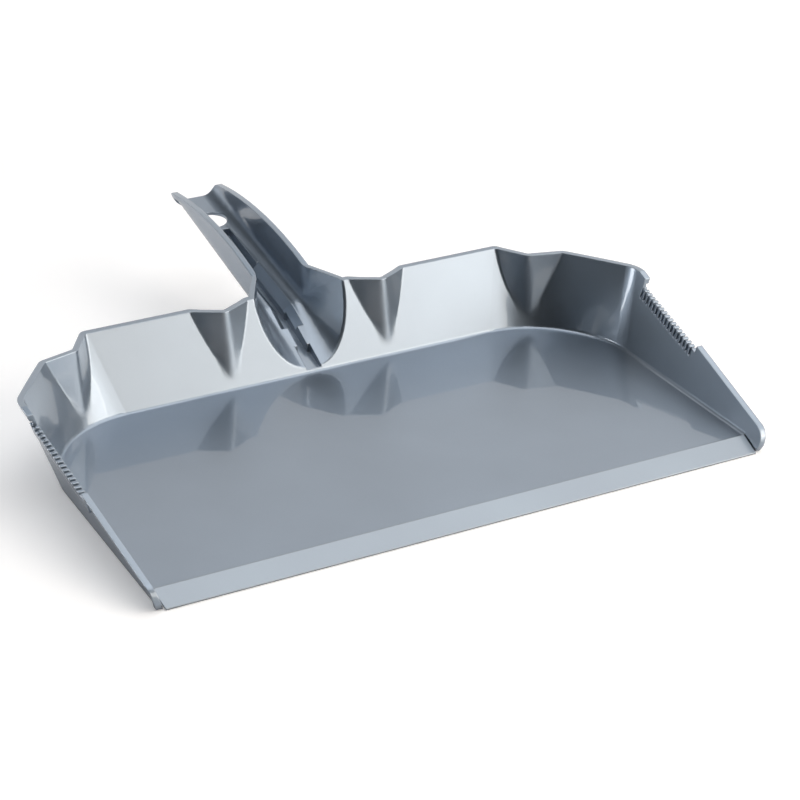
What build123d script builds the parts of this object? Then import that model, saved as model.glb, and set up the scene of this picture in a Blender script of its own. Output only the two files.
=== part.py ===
"""Large moulded dustpan: a fluted tray with combed side rims, a channel handle and a front lip strip.

Millimetres, +Z up. The lip faces -Y, the handle points to +Y and X = 0 is the plane of symmetry.
The origin lies on the ground, in the middle of the overall length.
"""

import math
import os

from build123d import *

os.makedirs("parts", exist_ok=True)

# Tray: floor, walls and rim
FLOOR_WIDTH = 406.0
FLOOR_DEPTH = 208.0
FLOOR_TOP = 5.5
FLOOR_THICKNESS = 2.4
FLOOR_CORNER_RADIUS = 68.0
KNEE_TURN = 25.0
HEEL_TURN = 22.0
FLOOR_FILLET = 2.5
RIM_HEIGHT = 57.0
SIDE_LEAN = 17.0
REAR_LEAN = 23.7
CORNER_CUT_X = 50.5
CORNER_CUT_Y = 72.0
RIM_KNEE_RADIUS = 16.0
RIM_HEEL_RADIUS = 34.0
WALL = 2.4
FLANGE_OVERHANG = 1.6
FLANGE_DEPTH = 3.6

# Side rims, from the nose at the lip up to the level rear rim
SIDE_SLOPE_RUN = 167.0
NOSE_HEIGHT = 13.0
NOSE_SETBACK = 0.5
NOSE_RADIUS = 10.0
NOSE_CHIN_HEIGHT = 4.0
NOSE_CHIN_SETBACK = 2.0

# Flutes: rounded ridges that bulge into the tray and open towards the rim
FLUTE_FOOT_HEIGHT = 9.0
FLUTE_CREST_RADIUS = 7.0
FLUTE_SPACING = 116.0
FLUTE_DEPTH = 11.5
FLUTE_FOOT_DEPTH = 0.8
FLUTE_SLOPE = 28.7
FLUTE_FOOT_SLOPE = 20.0
CORNER_FLUTE_SPACING = 329.0
CORNER_FLUTE_INSET = 21.2
CORNER_FLUTE_TURN = 37.0
CORNER_FLUTE_SLOPE = 21.5
CORNER_FLUTE_FOOT_SPACING = 330.5
CORNER_FLUTE_FOOT_INSET = 7.8
CORNER_FLUTE_FOOT_TURN = 22.0
CORNER_FLUTE_FOOT_SLOPE = 18.0
FLUTE_EDGE_RADIUS = 2.5

# Comb in each side rim
COMB_TEETH = 17
COMB_PITCH = 4.1
COMB_SLOT = 2.1
COMB_FROM_LIP = 86.5
COMB_FRONT_LAND = 3.2
COMB_DROP_FRONT = 4.6
COMB_DROP_REAR = 6.2
COMB_SLOT_DEPTH = 5.6
COMB_SKIN = 1.2
COMB_TIP = 2.0

# Handle: an upward open channel that flares into the rear wall
ROOT_REACH = 29.5
HANDLE_LENGTH = 146.0
CHANNEL_ROOT_WIDTH = 34.4
CHANNEL_TIP_WIDTH = 31.0
CHANNEL_ROOT_DEPTH = 26.0
CHANNEL_TIP_DEPTH = 7.7
CHANNEL_ROOT_FLAT = 20.4
CHANNEL_TIP_FLAT = 11.0
CHANNEL_ROOT_ROUND = 7.0
CHANNEL_TIP_ROUND = 10.0
FUNNEL_WIDTH = 66.0
FUNNEL_FLAT = 6.0
FUNNEL_BOTTOM = 8.0
FUNNEL_ROUND = 50.0
FUNNEL_MOUTH_INSET = 1.0
FUNNEL_MOUTH_RADIUS = 2.0
ROOT_BLEND_RADIUS = 25.0
HANDLE_ROOT_RISE = 2.5
HANDLE_CROWN_RISE = 15.0
HANDLE_TIP_RISE = 12.0
TIP_RADIUS = 5.0

# Hang hole and the groove that runs from it down to the floor
HANG_HOLE_RADIUS = 10.0
HANG_HOLE_FROM_TIP = 32.0
GROOVE_END_GAP = 4.0
GROOVE_END_WIDTH = 12.6
GROOVE_END_DEPTH = 6.0
GROOVE_WIDTH = 16.0
GROOVE_SLOT = 5.0
GROOVE_BEVEL_DEPTH = 6.0
GROOVE_BEVEL_RUN = 54.0
GROOVE_DEPTH = 12.0
GROOVE_TOP_CLEARANCE = 1.0
FLARE_SLOT = 7.0
FLARE_SLOT_RUN = 33.0
FOOT_NOTCH_WIDTH = 11.0
FOOT_NOTCH_RISE = 9.0

# Front lip strip
LIP_RUN = 16.0
LIP_EDGE = 0.9
LIP_STEP = 0.6
LIP_TONGUE = 14.0
LIP_TONGUE_THICKNESS = 2.2
LIP_END_GAP = 1.0
LIP_FOOT = 5.0

# Trimming margin past a face that a cut has to clear
MARGIN = 4.0

# Places that follow from the sizes above
RISE = RIM_HEIGHT - FLOOR_TOP
SIDE_TAN = math.tan(math.radians(SIDE_LEAN))
REAR_TAN = math.tan(math.radians(REAR_LEAN))
LENGTH = LIP_RUN + FLOOR_DEPTH + RISE * REAR_TAN + ROOT_REACH + HANDLE_LENGTH
FRONT_Y = -LENGTH / 2
CREASE_Y = FRONT_Y + LIP_RUN
REAR_Y = CREASE_Y + FLOOR_DEPTH
RIM_Y = REAR_Y + RISE * REAR_TAN
ROOT_Y = RIM_Y + ROOT_REACH
TIP_Y = ROOT_Y + HANDLE_LENGTH
HOLE_Y = TIP_Y - HANG_HOLE_FROM_TIP
GROOVE_END_Y = HOLE_Y - HANG_HOLE_RADIUS - GROOVE_END_GAP
FLOOR_BOTTOM = FLOOR_TOP - FLOOR_THICKNESS
HANDLE_ROOT_TOP = RIM_HEIGHT + HANDLE_ROOT_RISE
HANDLE_CROWN_TOP = RIM_HEIGHT + HANDLE_CROWN_RISE
HANDLE_TIP_TOP = RIM_HEIGHT + HANDLE_TIP_RISE
CHANNEL_ROOT_FLOOR = HANDLE_ROOT_TOP - CHANNEL_ROOT_DEPTH
CHANNEL_TIP_FLOOR = HANDLE_TIP_TOP - CHANNEL_TIP_DEPTH
TRIM_Z = RIM_HEIGHT + MARGIN
SLOPE_Y = FRONT_Y + SIDE_SLOPE_RUN
HANDLE_TRIM_Z = HANDLE_CROWN_TOP + 2 * MARGIN
NOSE_Y = FRONT_Y + NOSE_SETBACK
CHIN_Y = NOSE_Y + NOSE_CHIN_SETBACK
BELOW = 3 * MARGIN
REACH = FLOOR_WIDTH
FLUTE_REACH = 2 * FLOOR_CORNER_RADIUS


def side_x(z):
    """Half width between the side walls' inner faces at a height."""
    return FLOOR_WIDTH / 2 + (z - FLOOR_TOP) * SIDE_TAN


def rear_y(z):
    """Rear wall's inner face at a height."""
    return REAR_Y + (z - FLOOR_TOP) * REAR_TAN


def on_circle(centre, radius, angle):
    """Plan point on a circle, with the angle counted from +X towards +Y."""
    turn = math.radians(angle)
    return (centre[0] + radius * math.cos(turn), centre[1] + radius * math.sin(turn))


def base_outline(z, grow):
    """Tray outline near the floor, with an arc in three runs at each rear corner, grown outwards."""
    half, rear, front = side_x(z) + grow, rear_y(z) + grow, FRONT_Y - MARGIN
    radius = FLOOR_CORNER_RADIUS + grow
    middle = (half - radius, rear - radius)
    knee = on_circle(middle, radius, KNEE_TURN)
    heel = on_circle(middle, radius, 90 - HEEL_TURN)
    with BuildSketch(Plane.XY.offset(z)) as outline:
        with BuildLine():
            Line((-half, front), (half, front))
            Line((half, front), (half, middle[1]))
            RadiusArc((half, middle[1]), knee, -radius)
            RadiusArc(knee, heel, -radius)
            RadiusArc(heel, (middle[0], rear), -radius)
            Line((middle[0], rear), (-middle[0], rear))
            RadiusArc((-middle[0], rear), (-heel[0], heel[1]), -radius)
            RadiusArc((-heel[0], heel[1]), (-knee[0], knee[1]), -radius)
            RadiusArc((-knee[0], knee[1]), (-half, middle[1]), -radius)
            Line((-half, middle[1]), (-half, front))
        make_face()
    return outline.sketch


def rim_outline(z, grow):
    """Tray outline at the rim, with a rounded diagonal cut at each rear corner, grown outwards."""
    half, rear, front = side_x(z), rear_y(z), FRONT_Y - MARGIN + grow
    with BuildSketch(Plane.XY.offset(z)) as outline:
        with BuildLine():
            Polyline(
                (-half, front),
                (half, front),
                (half, rear - CORNER_CUT_Y),
                (half - CORNER_CUT_X, rear),
                (CORNER_CUT_X - half, rear),
                (-half, rear - CORNER_CUT_Y),
                close=True,
            )
        make_face()
        offset(amount=grow, kind=Kind.INTERSECTION)
        corners = outline.vertices().sort_by(Axis.Y)
        fillet(corners[2:4], RIM_KNEE_RADIUS + grow)
        fillet(outline.vertices().sort_by(Axis.Y)[-2:], RIM_HEEL_RADIUS + grow)
    return outline.sketch


def tray_loft(grow):
    """Plain tray block, without flutes."""
    with BuildPart() as block:
        loft([base_outline(0, grow), rim_outline(TRIM_Z, grow)], ruled=True)
    return block.part


def flute_places():
    """Crest, outward turn and flank slope at the foot and at the rim of the right hand flutes."""
    foot_z = FLOOR_TOP + FLUTE_FOOT_HEIGHT
    foot_crest = Vector(FLUTE_SPACING / 2, rear_y(foot_z) - FLUTE_FOOT_DEPTH)
    rim_crest = Vector(FLUTE_SPACING / 2, RIM_Y - FLUTE_DEPTH)
    corner_foot = Vector(CORNER_FLUTE_FOOT_SPACING / 2, rear_y(foot_z) - CORNER_FLUTE_FOOT_INSET)
    corner_rim = Vector(CORNER_FLUTE_SPACING / 2, RIM_Y - CORNER_FLUTE_INSET)
    handle_flute = ((foot_crest, 0.0, FLUTE_FOOT_SLOPE), (rim_crest, 0.0, FLUTE_SLOPE))
    corner_flute = (
        (corner_foot, CORNER_FLUTE_FOOT_TURN, CORNER_FLUTE_FOOT_SLOPE),
        (corner_rim, CORNER_FLUTE_TURN, CORNER_FLUTE_SLOPE),
    )
    return [handle_flute, corner_flute]


def flute_section(foot, rim, z, grow):
    """Section of a flute at a height: a rounded crest with a straight flank on each side, open outwards."""
    foot_z = FLOOR_TOP + FLUTE_FOOT_HEIGHT
    share = (z - foot_z) / (RIM_HEIGHT - foot_z)
    crest = foot[0] + (rim[0] - foot[0]) * share
    turn = foot[1] + (rim[1] - foot[1]) * share
    slope = foot[2] + (rim[2] - foot[2]) * share
    flank = FLUTE_REACH / math.cos(math.radians(slope))
    plane = Plane(origin=(crest.X, crest.Y, z)).rotated((0, 0, -turn))
    with BuildSketch(plane) as section:
        with BuildLine():
            start = (0, grow / math.cos(math.radians(slope)))
            right = PolarLine(start, flank, slope)
            left = PolarLine(start, flank, 180 - slope)
            Polyline(right @ 1, (right @ 1) + Vector(0, FLUTE_REACH), (left @ 1) + Vector(0, FLUTE_REACH), left @ 1)
        make_face()
        fillet(section.vertices().sort_by(Axis.Y)[0], FLUTE_CREST_RADIUS - grow)
    return section.sketch


def flute_ridge(foot, rim, grow):
    """Flute block, from below the floor to above the rim."""
    low = flute_section(foot, rim, -MARGIN, grow)
    high = flute_section(foot, rim, TRIM_Z + MARGIN, grow)
    with BuildPart() as ridge:
        loft([low, high], ruled=True)
    return ridge.part


def flute_ridges(grow):
    """All four flutes, the left ones as mirror images."""
    ridges = []
    for foot, rim in flute_places():
        ridge = flute_ridge(foot, rim, grow)
        ridges += [ridge, mirror(ridge, about=Plane.YZ, mode=Mode.PRIVATE)]
    return ridges


def channel_section(plane, half, flat_half, bottom, round_height, top, grow):
    """Upright U: flat bottom, elliptical corners and straight sides, grown outwards."""
    round_width = half - flat_half + grow
    tall = round_height + grow
    wide = half + grow
    low = bottom - grow
    with BuildSketch(plane) as section:
        with BuildLine():
            Line((-flat_half, low), (flat_half, low))
            EllipticalCenterArc((flat_half, low + tall), round_width, tall, 270, arc_size=90)
            Line((wide, low + tall), (wide, top))
            Line((wide, top), (-wide, top))
            Line((-wide, top), (-wide, low + tall))
            EllipticalCenterArc((-flat_half, low + tall), round_width, tall, 180, arc_size=90)
        make_face()
    return section.sketch


def channel_floor(y):
    """Height of the channel's floor along the straight part of the handle."""
    share = (y - ROOT_Y) / HANDLE_LENGTH
    return CHANNEL_ROOT_FLOOR + (CHANNEL_TIP_FLOOR - CHANNEL_ROOT_FLOOR) * share


def handle_section(y, grow):
    """Channel section at a place along the handle, between its root and its tip."""
    share = (y - ROOT_Y) / HANDLE_LENGTH
    half = (CHANNEL_ROOT_WIDTH + (CHANNEL_TIP_WIDTH - CHANNEL_ROOT_WIDTH) * share) / 2
    flat_half = (CHANNEL_ROOT_FLAT + (CHANNEL_TIP_FLAT - CHANNEL_ROOT_FLAT) * share) / 2
    round_height = CHANNEL_ROOT_ROUND + (CHANNEL_TIP_ROUND - CHANNEL_ROOT_ROUND) * share
    plane = Plane(origin=(0, y, 0), x_dir=(1, 0, 0), z_dir=(0, -1, 0))
    return channel_section(plane, half, flat_half, channel_floor(y), round_height, HANDLE_TRIM_Z, grow)


def funnel_section(grow):
    """Mouth of the handle's flare, drawn on the rear wall's inner face."""
    lean = math.radians(REAR_LEAN)
    normal = Vector(0, -math.cos(lean), math.sin(lean))
    origin = Vector(0, REAR_Y, FLOOR_TOP) + normal * FUNNEL_MOUTH_INSET
    plane = Plane(origin=origin, x_dir=(1, 0, 0), z_dir=normal)
    along = 1 / math.cos(lean)
    return channel_section(
        plane,
        FUNNEL_WIDTH / 2,
        FUNNEL_FLAT / 2,
        (FUNNEL_BOTTOM - FLOOR_TOP) * along,
        FUNNEL_ROUND * along,
        (TRIM_Z + MARGIN - FLOOR_TOP) * along,
        grow,
    )


def handle_body(grow):
    """Channel block with its flare, open ended at the tip."""
    root = handle_section(ROOT_Y, grow)
    middle = handle_section(GROOVE_END_Y, grow)
    tip = handle_section(TIP_Y + MARGIN, grow)
    with BuildPart() as block:
        loft([root, middle, tip], ruled=True)
        loft([funnel_section(grow), root], ruled=True)
    return block.part


def climbs(edge):
    """Whether an edge runs up a wall, as the flutes' edges do."""
    return edge.bounding_box().size.Z > MARGIN


def tray_body(grow):
    """Tray block with the flutes cut into its walls."""
    ridges = flute_ridges(grow)
    block = tray_loft(grow)
    with BuildPart() as fluted:
        add(block)
        add(ridges, mode=Mode.SUBTRACT)
        borders = fluted.edges(Select.NEW).filter_by(climbs)
        fillet(borders, FLUTE_EDGE_RADIUS + grow)
    return fluted.part


def side_rim_z(y):
    """Top of the sloped side rim at a place along the tray."""
    share = (y - NOSE_Y) / (SLOPE_Y - NOSE_Y)
    return NOSE_HEIGHT + (RIM_HEIGHT - NOSE_HEIGHT) * share


def rim_profile(inset):
    """Side view of everything below the rim, from the nose to the handle's tip."""
    crown_y = (ROOT_Y + TIP_Y) / 2
    with BuildSketch(Plane.YZ) as profile:
        with BuildLine():
            Polyline((CHIN_Y, -BELOW), (CHIN_Y, 0), (NOSE_Y, NOSE_CHIN_HEIGHT), (NOSE_Y, NOSE_HEIGHT))
            Polyline(
                (NOSE_Y, NOSE_HEIGHT), (SLOPE_Y, RIM_HEIGHT), (RIM_Y, RIM_HEIGHT), (ROOT_Y, HANDLE_ROOT_TOP)
            )
            ThreePointArc((ROOT_Y, HANDLE_ROOT_TOP), (crown_y, HANDLE_CROWN_TOP), (TIP_Y, HANDLE_TIP_TOP))
            Line((TIP_Y, HANDLE_TIP_TOP), (TIP_Y, -BELOW))
            Line((TIP_Y, -BELOW), (CHIN_Y, -BELOW))
        make_face()
        nose = profile.vertices().sort_by_distance((NOSE_Y, NOSE_HEIGHT))[0]
        fillet(nose, NOSE_RADIUS)
        tip = profile.vertices().sort_by_distance((TIP_Y, HANDLE_TIP_TOP))[0]
        fillet(tip, TIP_RADIUS)
        if inset:
            offset(amount=-inset, kind=Kind.INTERSECTION)
    with BuildPart() as block:
        extrude(profile.sketch, amount=REACH, both=True)
    return block.part


def ribbon(points, depths, half_width, raise_by):
    """Bar below a line in the plane of symmetry, with its own depth at each point of the line."""
    upper = [(y, z + raise_by) for y, z in points]
    lower = [(y, z - depth) for (y, z), depth in zip(points, depths)]
    with BuildSketch(Plane.YZ) as side:
        with BuildLine():
            Polyline(*upper, *reversed(lower), close=True)
        make_face()
    with BuildPart() as bar:
        extrude(side.sketch, amount=half_width, both=True)
    return bar.part


def trough(start, end, lead, trail):
    """Groove with sloped sides along a line in the plane of symmetry, run on past both of its ends."""
    run = Vector(0, end[0] - start[0], end[1] - start[1])
    along = run.normalized()
    origin = Vector(0, start[0], start[1]) - along * lead
    slope = (GROOVE_WIDTH - GROOVE_SLOT) / 2 / GROOVE_BEVEL_DEPTH
    mouth = GROOVE_WIDTH / 2 + slope * GROOVE_TOP_CLEARANCE
    with BuildPart() as cut:
        with BuildSketch(Plane(origin=origin, x_dir=(1, 0, 0), z_dir=-along)):
            with BuildLine():
                Polyline(
                    (-mouth, GROOVE_TOP_CLEARANCE),
                    (mouth, GROOVE_TOP_CLEARANCE),
                    (GROOVE_SLOT / 2, -GROOVE_BEVEL_DEPTH),
                    (-GROOVE_SLOT / 2, -GROOVE_BEVEL_DEPTH),
                    close=True,
                )
            make_face()
        extrude(amount=-(lead + run.length + trail))
    return cut.part


def between(start, end, share):
    """Point part of the way along a line."""
    return (start[0] + (end[0] - start[0]) * share, start[1] + (end[1] - start[1]) * share)


# Solid and air blocks of the moulding
outer_tray = tray_body(WALL)
outer_handle = handle_body(WALL)
flange_tray = tray_body(WALL + FLANGE_OVERHANG)
flange_handle = handle_body(WALL + FLANGE_OVERHANG)
inner_block = tray_loft(0)
below_rim = rim_profile(0)
below_flange = rim_profile(FLANGE_DEPTH)
flutes = flute_ridges(0)

# Groove line: up the flare's bottom, then along the channel's floor to just below the hang hole
groove_foot = (rear_y(FUNNEL_BOTTOM), FUNNEL_BOTTOM)
groove_bend = (ROOT_Y, CHANNEL_ROOT_FLOOR)
bevel_end = (ROOT_Y + GROOVE_BEVEL_RUN, channel_floor(ROOT_Y + GROOVE_BEVEL_RUN))
groove_end = (GROOVE_END_Y, channel_floor(GROOVE_END_Y))
keel_end = (GROOVE_END_Y + WALL, channel_floor(GROOVE_END_Y + WALL))
foot_depth = FUNNEL_BOTTOM - FLOOR_TOP
bevel_share = (bevel_end[0] - groove_bend[0]) / (groove_end[0] - groove_bend[0])
bevel_end_depth = GROOVE_DEPTH + (GROOVE_END_DEPTH - GROOVE_DEPTH) * bevel_share
notch_share = FOOT_NOTCH_RISE / (CHANNEL_ROOT_FLOOR - FUNNEL_BOTTOM)
notch_top = between(groove_foot, groove_bend, notch_share)
notch_depth = foot_depth + (GROOVE_DEPTH - foot_depth) * notch_share
flare_top = between(groove_foot, groove_bend, FLARE_SLOT_RUN / (groove_bend[0] - groove_foot[0]))
keel_depths = [foot_depth + WALL, GROOVE_DEPTH + WALL, GROOVE_END_DEPTH + WALL]
keel = ribbon([groove_foot, groove_bend, keel_end], keel_depths, GROOVE_END_WIDTH / 2 + WALL, -WALL / 2)
end_slot = ribbon([bevel_end, groove_end], [bevel_end_depth, GROOVE_END_DEPTH], GROOVE_END_WIDTH / 2, MARGIN)
handle_slot = ribbon([groove_bend, bevel_end], [GROOVE_DEPTH, bevel_end_depth], GROOVE_SLOT / 2, MARGIN)
flare_slot = ribbon([groove_foot, groove_bend], [foot_depth, GROOVE_DEPTH], FLARE_SLOT / 2, MARGIN)
foot_notch = ribbon([groove_foot, notch_top], [foot_depth, notch_depth], FOOT_NOTCH_WIDTH / 2, MARGIN)
handle_trough = trough(groove_bend, bevel_end, MARGIN / 2, 0)
flare_trough = trough(flare_top, groove_bend, 0, MARGIN / 2)

with BuildPart() as tray_air:
    add(inner_block)
    split(bisect_by=Plane.XY.offset(FLOOR_TOP), keep=Keep.TOP)
    foot_edges = tray_air.edges().filter_by_position(Axis.Z, FLOOR_TOP, FLOOR_TOP)
    fillet(foot_edges.filter_by_position(Axis.Y, FRONT_Y, LENGTH), FLOOR_FILLET)
    add(flutes, mode=Mode.SUBTRACT)
    fillet(tray_air.edges(Select.NEW).filter_by(climbs), FLUTE_EDGE_RADIUS)

with BuildPart() as handle_air:
    add(handle_body(0))
    root_edges = handle_air.edges().filter_by_position(Axis.Y, ROOT_Y, ROOT_Y)
    fillet(root_edges.filter_by_position(Axis.Z, 0, HANDLE_TRIM_Z - MARGIN), ROOT_BLEND_RADIUS)

with BuildPart() as underside_air:
    add(inner_block)
    split(bisect_by=Plane.XY.offset(FLOOR_BOTTOM), keep=Keep.BOTTOM)

with BuildPart() as lip_bay:
    add(inner_block)
    split(bisect_by=Plane.XZ.offset(-CREASE_Y), keep=Keep.TOP)

with BuildPart() as flange:
    add(flange_tray)
    add(flange_handle)
    add(below_rim, mode=Mode.INTERSECT)
    add(below_flange, mode=Mode.SUBTRACT)

# Comb: the rim dips, its flange dips with it, and the slots stop at the flange's outer skin
comb_front = FRONT_Y + COMB_FROM_LIP
comb_rear = comb_front + COMB_FRONT_LAND + (COMB_TEETH - 0.5) * COMB_PITCH + COMB_SLOT / 2
comb_low = side_rim_z(comb_front) - COMB_DROP_FRONT
comb_high = side_rim_z(comb_rear) - COMB_DROP_REAR
slot_room = tray_loft(WALL + FLANGE_OVERHANG - COMB_SKIN)


def comb_strip(top_drop, bottom_drop, overlap):
    """Side view of a strip along the comb, between two depths below the comb's own line."""
    front, rear = comb_front - overlap, comb_rear + overlap
    with BuildSketch(Plane.YZ) as strip:
        with BuildLine():
            Polyline(
                (front, comb_low - top_drop),
                (rear, comb_high - top_drop),
                (rear, comb_high - bottom_drop),
                (front, comb_low - bottom_drop),
                close=True,
            )
        make_face()
    with BuildPart() as band:
        extrude(strip.sketch, amount=REACH, both=True)
    return band.part


with BuildPart() as comb_bar:
    add(flange_tray)
    add(comb_strip(0, COMB_SLOT_DEPTH + WALL, WALL), mode=Mode.INTERSECT)

with BuildPart() as comb_slots:
    with BuildSketch(Plane.YZ):
        for tooth in range(COMB_TEETH):
            slot_y = comb_front + COMB_FRONT_LAND + (tooth + 0.5) * COMB_PITCH
            with Locations((slot_y, RIM_HEIGHT / 2)):
                Rectangle(COMB_SLOT, RIM_HEIGHT)
    extrude(amount=REACH, both=True)
    add(comb_strip(-MARGIN, COMB_SLOT_DEPTH, MARGIN), mode=Mode.INTERSECT)

with BuildPart() as comb_pockets:
    add(comb_slots.part)
    add(slot_room, mode=Mode.INTERSECT)

with BuildPart() as comb_tips:
    add(comb_slots.part)
    add(comb_strip(-MARGIN, COMB_TIP, MARGIN), mode=Mode.INTERSECT)

floor_rise = math.degrees(math.atan2(CHANNEL_TIP_FLOOR - CHANNEL_ROOT_FLOOR, HANDLE_LENGTH))
hole_plane = Plane(origin=(0, HOLE_Y, channel_floor(HOLE_Y))).rotated((floor_rise, 0, 0))

with BuildPart() as pan:
    add(outer_tray)
    add(outer_handle)
    add(below_rim, mode=Mode.INTERSECT)
    add(flange.part)
    add(comb_strip(-2 * RIM_HEIGHT, 0, 0), mode=Mode.SUBTRACT)
    add(comb_bar.part)
    add(keel)
    add(tray_air.part, mode=Mode.SUBTRACT)
    add(handle_air.part, mode=Mode.SUBTRACT)
    mouth_edges = pan.edges(Select.LAST).filter_by(climbs)
    fillet(mouth_edges.filter_by_position(Axis.Y, REAR_Y, RIM_Y), FUNNEL_MOUTH_RADIUS)
    add([underside_air.part, lip_bay.part], mode=Mode.SUBTRACT)
    add([end_slot, handle_slot, flare_slot, foot_notch], mode=Mode.SUBTRACT)
    add([handle_trough, flare_trough], mode=Mode.SUBTRACT)
    add([comb_pockets.part, comb_tips.part], mode=Mode.SUBTRACT)
    with BuildSketch(hole_plane):
        Circle(HANG_HOLE_RADIUS)
    extrude(amount=2 * MARGIN, both=True, mode=Mode.SUBTRACT)
pan.part.label = "pan_body"
export_step(pan.part, "parts/pan_body.step")

lip_ends = tray_loft(-LIP_END_GAP)
tongue_bottom = FLOOR_BOTTOM - LIP_TONGUE_THICKNESS
with BuildPart() as lip:
    with BuildSketch(Plane.YZ):
        with BuildLine():
            Polyline(
                (FRONT_Y, 0),
                (FRONT_Y + LIP_FOOT, 0),
                (FRONT_Y + LIP_FOOT + tongue_bottom, tongue_bottom),
                (CREASE_Y + LIP_TONGUE, tongue_bottom),
                (CREASE_Y + LIP_TONGUE, FLOOR_BOTTOM),
                (CREASE_Y, FLOOR_BOTTOM),
                (CREASE_Y, FLOOR_TOP + LIP_STEP),
                (FRONT_Y, LIP_EDGE),
                close=True,
            )
        make_face()
    extrude(amount=REACH, both=True)
    add(lip_ends, mode=Mode.INTERSECT)
lip.part.label = "front_lip"
export_step(lip.part, "parts/front_lip.step")
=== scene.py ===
"""Studio scene for the moulded dustpan: glossy grey plastic on a white table, lit from the right."""

import math

import bpy
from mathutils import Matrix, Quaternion, Vector

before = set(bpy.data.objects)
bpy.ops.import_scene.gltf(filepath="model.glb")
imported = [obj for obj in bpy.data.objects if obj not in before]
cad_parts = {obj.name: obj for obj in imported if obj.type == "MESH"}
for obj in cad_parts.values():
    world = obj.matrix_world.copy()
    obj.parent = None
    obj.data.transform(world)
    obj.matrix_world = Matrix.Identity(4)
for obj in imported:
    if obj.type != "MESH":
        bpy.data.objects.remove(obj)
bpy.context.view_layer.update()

# Camera, fitted to the floor, the rims and the handle
IMAGE_PX = 800
FOCAL_PX = 2263.4
SENSOR_MM = 36.0
CLIP_START = 0.05
AIM = Vector((0.0, -0.09505, 0.030))
AZIMUTH = math.radians(27.49)
ELEVATION = math.radians(26.91)
DISTANCE = 1.423
SHIFT = (0.01386, 0.00484)

# Plastic: metal flake under a clear gloss
PAN_DARK = (0.247, 0.296, 0.358)
PAN_LIGHT = (0.274, 0.329, 0.399)
PAN_GLOSS = 0.015
LIP_DARK = (0.238, 0.275, 0.317)
LIP_LIGHT = (0.262, 0.306, 0.350)
LIP_GLOSS = 0.04
# Painted highlight: a pale tint screened onto the colour of the edges
EDGE_HIGHLIGHT_TINT = (0.06, 0.065, 0.07)
FLAKE = 0.92
FLAKE_ROUGHNESS = 0.39
FLAKE_SPREAD = 0.05
SCUFF_DEPTH = 0.04
SMEAR_DEPTH = 0.03
PLASTIC_IOR = 1.56

# Texture cells per metre
CLOUD_CELLS = 9.0
SMEAR_CELLS = 24.0
RIPPLE_CELLS = 55.0
SCUFF_CELLS = 900.0
PEEL_CELLS = 1600.0
FLAKE_CELLS = 2600.0

# Rounding of the edges, and the zone of the flutes, which fades in and out between two places
EDGE_ROUND = 0.0010
FLUTE_ROUND = 0.008
FLUTE_PLACES = (0.058, 0.165)
FLUTE_HALF_WIDTH = 0.006
FLUTE_FADE = 0.004
FLUTE_FRONT = (-0.006, 0.004)
FLUTE_FOOT = (0.0075, 0.012)
FLUTE_TOP = (0.045, 0.055)

# Studio
LIT_CENTRE = Vector((0.0, -0.05, 0.0))
LAMP_DISTANCE = 1.9
NEUTRAL = (1.0, 1.0, 1.0)
WARM = (1.08, 1.0, 0.90)
TABLE_HALF = 4.0
TABLE_DROP = 0.0003
TABLE_COLOUR = (0.85, 0.85, 0.86)
GLOW_REACH = (0.5, 1.3)
GLOW_LEVELS = (0.25, 1.0)
BACKDROP_WAY = (0.370, 0.793, -0.485)
BACKDROP_EDGE = (0.15, 0.27)
BACKDROP_LEVEL = 0.85


def node(tree, kind, **settings):
    """New shader node with its properties set."""
    made = tree.nodes.new(kind)
    for name, value in settings.items():
        setattr(made, name, value)
    return made


def noise(tree, coords, scale, detail, roughness=0.5):
    """Noise texture on object coordinates, with its scale in cells per metre."""
    made = node(tree, "ShaderNodeTexNoise")
    made.inputs["Scale"].default_value = scale
    made.inputs["Detail"].default_value = detail
    made.inputs["Roughness"].default_value = roughness
    tree.links.new(coords, made.inputs["Vector"])
    return made.outputs["Fac"]


def remap(tree, value, low, high, to_low, to_high):
    """Linear map of a value with both ends held."""
    made = node(tree, "ShaderNodeMapRange", clamp=True)
    for name, number in zip(("From Min", "From Max", "To Min", "To Max"), (low, high, to_low, to_high)):
        made.inputs[name].default_value = number
    tree.links.new(value, made.inputs["Value"])
    return made.outputs["Result"]


def combine(tree, operation, *values):
    """Math node on one or two values."""
    made = node(tree, "ShaderNodeMath", operation=operation)
    for socket, value in zip(made.inputs, values):
        if isinstance(value, float):
            socket.default_value = value
        else:
            tree.links.new(value, socket)
    return made.outputs["Value"]


def bump(tree, height, normal, strength, distance):
    """Normal tilted by a height field."""
    made = node(tree, "ShaderNodeBump")
    made.inputs["Strength"].default_value = strength
    made.inputs["Distance"].default_value = distance
    tree.links.new(height, made.inputs["Height"])
    tree.links.new(normal, made.inputs["Normal"])
    return made.outputs["Normal"]


def edge_radius(tree, coords):
    """Rounding of the edges: small everywhere, and wide on the flutes of the rear wall and corners."""
    axes = node(tree, "ShaderNodeSeparateXYZ")
    tree.links.new(coords, axes.inputs["Vector"])
    aside = combine(tree, "ABSOLUTE", axes.outputs["X"])
    near = None
    for place in FLUTE_PLACES:
        away = combine(tree, "ABSOLUTE", combine(tree, "SUBTRACT", aside, place))
        fade = remap(tree, away, FLUTE_HALF_WIDTH, FLUTE_HALF_WIDTH + FLUTE_FADE, 1.0, 0.0)
        near = fade if near is None else combine(tree, "MAXIMUM", near, fade)
    behind = remap(tree, axes.outputs["Y"], *FLUTE_FRONT, 0.0, 1.0)
    above = remap(tree, axes.outputs["Z"], *FLUTE_FOOT, 0.0, 1.0)
    below = remap(tree, axes.outputs["Z"], *FLUTE_TOP, 1.0, 0.0)
    across = combine(tree, "MULTIPLY", near, behind)
    upright = combine(tree, "MULTIPLY", above, below)
    zone = combine(tree, "MULTIPLY", across, upright)
    return remap(tree, zone, 0.0, 1.0, EDGE_ROUND, FLUTE_ROUND)


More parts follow.
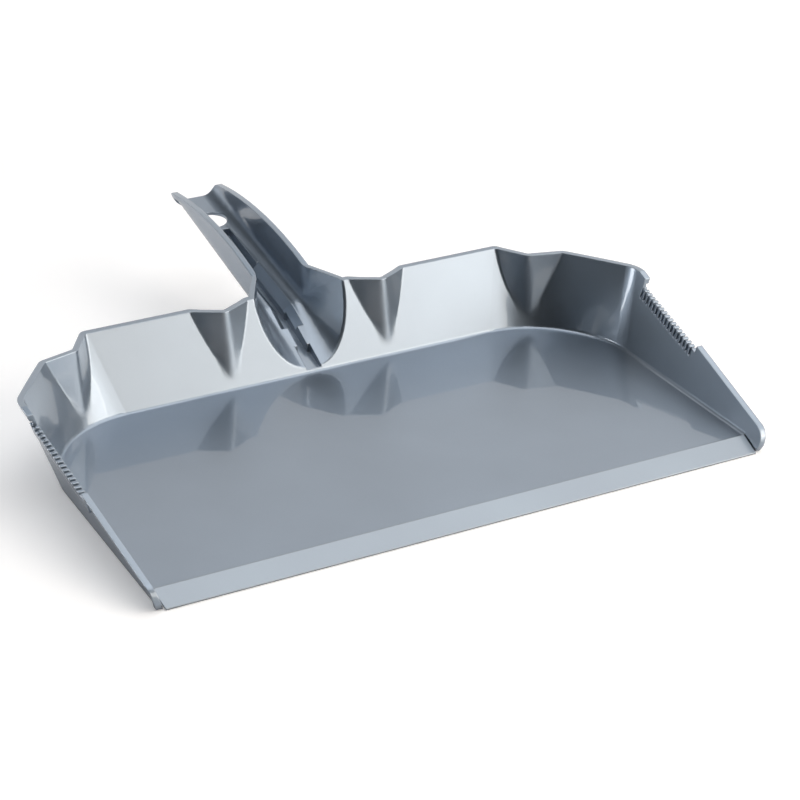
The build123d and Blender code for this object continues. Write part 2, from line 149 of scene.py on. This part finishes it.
def moulded_plastic(name, dark, light, gloss):
    """Glossy plastic with metal flake: clouding, moulding ripple, fine scuffs and rounded edges, with a
    painted highlight that makes the edges paler.
    """
    material = bpy.data.materials.new(name)
    material.use_nodes = True
    tree = material.node_tree
    shader = tree.nodes["Principled BSDF"]
    coords = node(tree, "ShaderNodeTexCoord").outputs["Object"]
    link = tree.links.new

    # Edges, found where the rounded normal turns away from the flat one
    rounded = node(tree, "ShaderNodeBevel", samples=8)
    link(edge_radius(tree, coords), rounded.inputs["Radius"])
    flat = node(tree, "ShaderNodeNewGeometry").outputs["Normal"]
    turn = node(tree, "ShaderNodeVectorMath", operation="DOT_PRODUCT")
    link(rounded.outputs["Normal"], turn.inputs[0])
    link(flat, turn.inputs[1])
    edge = remap(tree, turn.outputs["Value"], 0.99, 0.80, 0.0, 1.0)

    # Colour: clouds between two tones, and a painted highlight: the colour is made paler where the bevel
    # rounds an edge, and widely so on the flutes
    clouds = remap(tree, noise(tree, coords, CLOUD_CELLS, 3.0), 0.3, 0.7, 0.0, 1.0)
    colour = node(tree, "ShaderNodeMix", data_type="RGBA")
    colour.inputs["A"].default_value = (*dark, 1.0)
    colour.inputs["B"].default_value = (*light, 1.0)
    link(clouds, colour.inputs["Factor"])
    edge_highlight = node(tree, "ShaderNodeMix", data_type="RGBA", blend_type="SCREEN")
    edge_highlight.inputs["B"].default_value = (*EDGE_HIGHLIGHT_TINT, 1.0)
    link(colour.outputs["Result"], edge_highlight.inputs["A"])
    link(edge, edge_highlight.inputs["Factor"])
    link(edge_highlight.outputs["Result"], shader.inputs["Base Color"])

    # Roughness: scuffs drawn out along the sweep and smears in the gloss, and grains of flake below it
    stretch = node(tree, "ShaderNodeMapping")
    stretch.inputs["Scale"].default_value = (1.0, 0.06, 1.0)
    stretch.inputs["Rotation"].default_value = (0.0, 0.0, 0.18)
    link(coords, stretch.inputs["Vector"])
    streaks = noise(tree, stretch.outputs["Vector"], SCUFF_CELLS, 2.0, 0.7)
    scuffs = remap(tree, streaks, 0.60, 0.80, 0.0, SCUFF_DEPTH)
    smears = remap(tree, noise(tree, coords, SMEAR_CELLS, 4.0, 0.6), 0.35, 0.70, gloss, gloss + SMEAR_DEPTH)
    link(combine(tree, "ADD", scuffs, smears), shader.inputs["Coat Roughness"])
    grains = noise(tree, coords, FLAKE_CELLS, 1.0)
    flake = remap(tree, grains, 0.3, 0.7, FLAKE_ROUGHNESS - FLAKE_SPREAD, FLAKE_ROUGHNESS + FLAKE_SPREAD)
    link(flake, shader.inputs["Roughness"])

    # Surface: a slow moulding ripple under a fine peel
    ripple = bump(tree, noise(tree, coords, RIPPLE_CELLS, 2.0), rounded.outputs["Normal"], 0.10, 0.0004)
    peel = bump(tree, noise(tree, coords, PEEL_CELLS, 2.0), ripple, 0.02, 0.0001)
    link(peel, shader.inputs["Normal"])
    link(peel, shader.inputs["Coat Normal"])

    shader.inputs["Metallic"].default_value = FLAKE
    shader.inputs["IOR"].default_value = PLASTIC_IOR
    shader.inputs["Coat Weight"].default_value = 1.0
    shader.inputs["Coat IOR"].default_value = PLASTIC_IOR
    return material


def dress(node_name, material):
    """Puts a material on a CAD node."""
    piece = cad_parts[node_name]
    for slot in piece.material_slots:
        slot.material = material


def softbox(name, azimuth, elevation, roll, size, radiance, colour=NEUTRAL):
    """Rectangular lamp seen in reflections: azimuth right of the front, radiance against paper white."""
    lamp = bpy.data.lights.new(name, "AREA")
    lamp.shape = "RECTANGLE"
    lamp.size, lamp.size_y = size
    lamp.energy = radiance * math.pi * size[0] * size[1]
    lamp.color = colour
    made = bpy.data.objects.new(name, lamp)
    turn, rise = math.radians(azimuth), math.radians(elevation)
    way = Vector((math.sin(turn) * math.cos(rise), -math.cos(turn) * math.cos(rise), math.sin(rise)))
    made.location = LIT_CENTRE + LAMP_DISTANCE * way
    facing = way.to_track_quat("Z", "Y") @ Quaternion((0.0, 0.0, 1.0), math.radians(roll))
    made.rotation_euler = facing.to_euler()
    bpy.context.scene.collection.objects.link(made)


def white_table():
    """White card that glows a little to the camera, more so further out, and keeps the object's shadow."""
    material = bpy.data.materials.new("white_table")
    material.use_nodes = True
    tree = material.node_tree
    shader = tree.nodes["Principled BSDF"]
    shader.inputs["Base Color"].default_value = (*TABLE_COLOUR, 1.0)
    shader.inputs["Roughness"].default_value = 0.7
    shader.inputs["Specular IOR Level"].default_value = 0.1
    white = node(tree, "ShaderNodeEmission")
    white.inputs["Color"].default_value = (1.0, 1.0, 1.0, 1.0)
    reach = node(tree, "ShaderNodeVectorMath", operation="LENGTH")
    tree.links.new(node(tree, "ShaderNodeTexCoord").outputs["Object"], reach.inputs[0])
    glow = remap(tree, reach.outputs["Value"], *GLOW_REACH, *GLOW_LEVELS)
    seen = node(tree, "ShaderNodeLightPath").outputs["Is Camera Ray"]
    tree.links.new(combine(tree, "MULTIPLY", seen, glow), white.inputs["Strength"])
    both = node(tree, "ShaderNodeAddShader")
    tree.links.new(shader.outputs["BSDF"], both.inputs[0])
    tree.links.new(white.outputs["Emission"], both.inputs[1])
    tree.links.new(both.outputs["Shader"], tree.nodes["Material Output"].inputs["Surface"])
    return material


def table_top():
    """Square table just under the object."""
    half = TABLE_HALF
    mesh = bpy.data.meshes.new("table_top")
    corners = [(-half, -half, 0), (half, -half, 0), (half, half, 0), (-half, half, 0)]
    mesh.from_pydata(corners, [], [(0, 1, 2, 3)])
    mesh.materials.append(white_table())
    table = bpy.data.objects.new("table_top", mesh)
    table.location.z = -TABLE_DROP
    bpy.context.scene.collection.objects.link(table)


def surroundings():
    """World: white to the camera, and otherwise a dark studio with a pale backdrop behind the object."""
    world = bpy.data.worlds.new("studio")
    world.use_nodes = True
    tree = world.node_tree
    back = tree.nodes["Background"]
    way = node(tree, "ShaderNodeTexCoord").outputs["Generated"]
    lean = node(tree, "ShaderNodeVectorMath", operation="DOT_PRODUCT")
    lean.inputs[1].default_value = BACKDROP_WAY
    tree.links.new(way, lean.inputs[0])
    level = remap(tree, lean.outputs["Value"], *BACKDROP_EDGE, 0.0, BACKDROP_LEVEL)
    seen = node(tree, "ShaderNodeLightPath").outputs["Is Camera Ray"]
    pick = node(tree, "ShaderNodeMix", data_type="FLOAT")
    pick.inputs["B"].default_value = 1.0
    tree.links.new(seen, pick.inputs["Factor"])
    tree.links.new(level, pick.inputs["A"])
    tree.links.new(pick.outputs["Result"], back.inputs["Strength"])
    back.inputs["Color"].default_value = (1.0, 1.0, 1.0, 1.0)
    bpy.context.scene.world = world


def camera():
    """Camera at the viewing angle that shows the tray, both combs and the handle."""
    lens = bpy.data.cameras.new("camera")
    lens.sensor_width = SENSOR_MM
    lens.lens = FOCAL_PX / IMAGE_PX * SENSOR_MM
    lens.shift_x, lens.shift_y = SHIFT
    lens.clip_start = CLIP_START
    made = bpy.data.objects.new("camera", lens)
    level = math.cos(ELEVATION)
    back = Vector((-math.sin(AZIMUTH) * level, -math.cos(AZIMUTH) * level, math.sin(ELEVATION)))
    made.location = AIM + DISTANCE * back
    made.rotation_euler = back.to_track_quat("Z", "Y").to_euler()
    bpy.context.scene.collection.objects.link(made)
    bpy.context.scene.camera = made


dress("pan_body", moulded_plastic("pan_plastic", PAN_DARK, PAN_LIGHT, PAN_GLOSS))
dress("front_lip", moulded_plastic("lip_plastic", LIP_DARK, LIP_LIGHT, LIP_GLOSS))
table_top()
surroundings()
softbox("key", azimuth=24.8, elevation=22.0, roll=3.7, size=(0.94, 1.53), radiance=2.75, colour=WARM)
softbox("side", azimuth=53.5, elevation=24.0, roll=1.7, size=(1.00, 1.69), radiance=3.65, colour=WARM)
softbox("top", azimuth=100.8, elevation=76.7, roll=0.0, size=(1.90, 2.62), radiance=1.8)
softbox("rim", azimuth=-117.4, elevation=14.0, roll=-6.8, size=(0.64, 0.95), radiance=6.2)
camera()
bpy.context.scene.view_settings.view_transform = "Standard"
